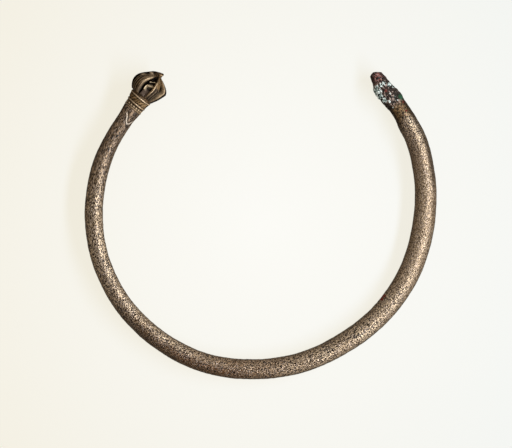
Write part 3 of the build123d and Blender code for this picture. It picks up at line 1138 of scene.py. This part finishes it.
def bud_finish():
    finish = Finish("finial_bronze")
    place = finish.skin((1.0, 1.0, 1.0))
    mottle = finish.noise(place, 1.8, 4.0, 0.6)
    fine = finish.noise(place, 4.5, 3.0, 0.6)
    dirt_and_painted_shade = finish.mark("dirt_and_painted_shade")
    worn = finish.mark("worn")
    tone = finish.grained(mottle, BUD_BRONZE)
    tone = finish.tinted(tone, finish.span(fine, 0.50, 0.64, 0.0, 0.6), BUD_SPECKS)
    tone = finish.tinted(tone, finish.span(finish.mark("hollow"), 0.15, 0.7, 0.0, 0.9), HOLLOW_SHADE)
    tone = finish.tinted(tone, finish.times(finish.mark("panel"), 0.8), PANEL)
    tone = finish.mix(finish.times(finish.mark("gold"), 0.7), tone, finish.grained(fine, GOLDEN_BRONZE))
    tone = finish.tinted(tone, finish.mark("curl"), CURL)
    # Darker between lines and beads, and painted shade beside the ribs and on the sides
    tone = finish.tinted(tone, dirt_and_painted_shade, DIRT_AND_PAINTED_SHADE)
    # Rubbed crests, rings and beads, with painted highlights and a painted glint
    rubbed = finish.times(worn, finish.span(mottle, 0.3, 0.55, 0.55, 1.0))
    tone = finish.tinted(tone, rubbed, RUBBED_AND_HIGHLIGHT_BRONZE)
    coated = finish.plus(dirt_and_painted_shade, finish.times(worn, 0.6))
    uneven = finish.plus(finish.maths("SUBTRACT", mottle, worn), dirt_and_painted_shade)
    normal = finish.bump(mottle, 0.12 * MM, 0.9)
    normal = finish.bump(fine, 0.06 * MM, 0.9, normal)
    return finish.surface({
        "Base Color": tone,
        "Metallic": finish.span(coated, 0.0, 1.0, 0.55, 0.1),
        "Roughness": finish.span(uneven, -0.6, 1.4, 0.26, 0.70),
        "Specular IOR Level": finish.span(dirt_and_painted_shade, 0.0, 1.0, 0.5, 0.05),
        "Normal": normal,
    })


hoop.data.materials.append(rod_finish())
bud.data.materials.append(bud_finish())
for piece, node, slot in ((hoop, "hoop", "hoop_bronze"), (bud, "finial", "finial_bronze")):
    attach(piece, "root")
    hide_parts(node)

# The paper that the bangle lies on, in metres: its light middle reaches 1 / PAPER_FADE from the centre
FLOOR_HALF = 1.5
PAPER_FADE = 14.0
PAPER_GLOW = 0.90

# The light of the room, and a soft lamp that looks at the bangle, with its sizes in metres
ROOM_TINT = (1.0, 0.86, 0.68, 1.0)
ROOM_STRENGTH = 0.21
LAMP_AZIMUTH = -8.0
LAMP_ELEVATION = 47.0
LAMP_DISTANCE = 0.45
LAMP_LENGTH = 0.6
LAMP_WIDTH = 0.075
LAMP_WATTS = 2.35
LAMP_TINT = (0.96, 0.98, 1.0)

# The view from above: the point that it is centred on, how wide it is there and how far away it is
VIEW_PLACE = Vector((-0.96, 0.30, 2.9)) * MM
VIEW_WIDTH = 105.12 * MM
VIEW_DISTANCE = 600.0 * MM
SENSOR_WIDTH = 36.0


def paper_finish():
    """Pale paper that glows, brightest in the middle as a painted pool of light, and a little yellower on
    the left.
    """
    finish = Finish("paper")
    place = finish.node("ShaderNodeTexCoord").outputs["Object"]
    fading = (PAPER_FADE, PAPER_FADE, 1.0)
    scaled = finish.node("ShaderNodeMapping", {}, {"Vector": place, "Scale": fading})
    spherical = {"gradient_type": "SPHERICAL"}
    spread = finish.node("ShaderNodeTexGradient", spherical, {"Vector": scaled.outputs["Vector"]})
    across = finish.node("ShaderNodeSeparateXYZ", {}, {"Vector": place}).outputs["X"]
    rim_tone = finish.grained(across, PAPER_RIM)
    return finish.surface({
        "Base Color": colour(PAPER_SHADOW),
        "Roughness": 0.9,
        "Specular IOR Level": 0.1,
        "Emission Color": finish.tinted(rim_tone, finish.span(spread.outputs["Fac"], 0.0, 1.0), PAPER),
        "Emission Strength": PAPER_GLOW,
    })


floor_mesh = bpy.data.meshes.new("floor")
floor_corners = [(x * FLOOR_HALF, y * FLOOR_HALF, 0.0) for x, y in ((-1, -1), (1, -1), (1, 1), (-1, 1))]
floor_mesh.from_pydata(floor_corners, [], [(0, 1, 2, 3)])
floor_mesh.materials.append(paper_finish())
floor = add_object("floor", floor_mesh)
floor.visible_glossy = False
floor.visible_diffuse = False

lamp = bpy.data.lights.new("key", "AREA")
lamp.shape = "RECTANGLE"
lamp.size = LAMP_LENGTH
lamp.size_y = LAMP_WIDTH
lamp.energy = LAMP_WATTS
lamp.color = LAMP_TINT
lamp_way = Vector(outward(LAMP_AZIMUTH)) * cos(radians(LAMP_ELEVATION))
lamp_way.z = sin(radians(LAMP_ELEVATION))
lamp_holder = add_object("key", lamp)
lamp_holder.location = lamp_way * LAMP_DISTANCE
lamp_holder.rotation_euler = lamp_way.to_track_quat("Z", "Y").to_euler()

world = bpy.data.worlds.new("room")
world.use_nodes = True
backdrop = world.node_tree.nodes["Background"]
backdrop.inputs["Color"].default_value = ROOM_TINT
backdrop.inputs["Strength"].default_value = ROOM_STRENGTH
bpy.context.scene.world = world

camera = bpy.data.cameras.new("camera")
camera.sensor_width = SENSOR_WIDTH
camera.lens = SENSOR_WIDTH * VIEW_DISTANCE / VIEW_WIDTH
camera.clip_start = 0.01
camera_holder = add_object("camera", camera)
camera_holder.location = VIEW_PLACE + Vector((0, 0, VIEW_DISTANCE))
bpy.context.scene.camera = camera_holder
bpy.context.scene.view_settings.view_transform = "Standard"
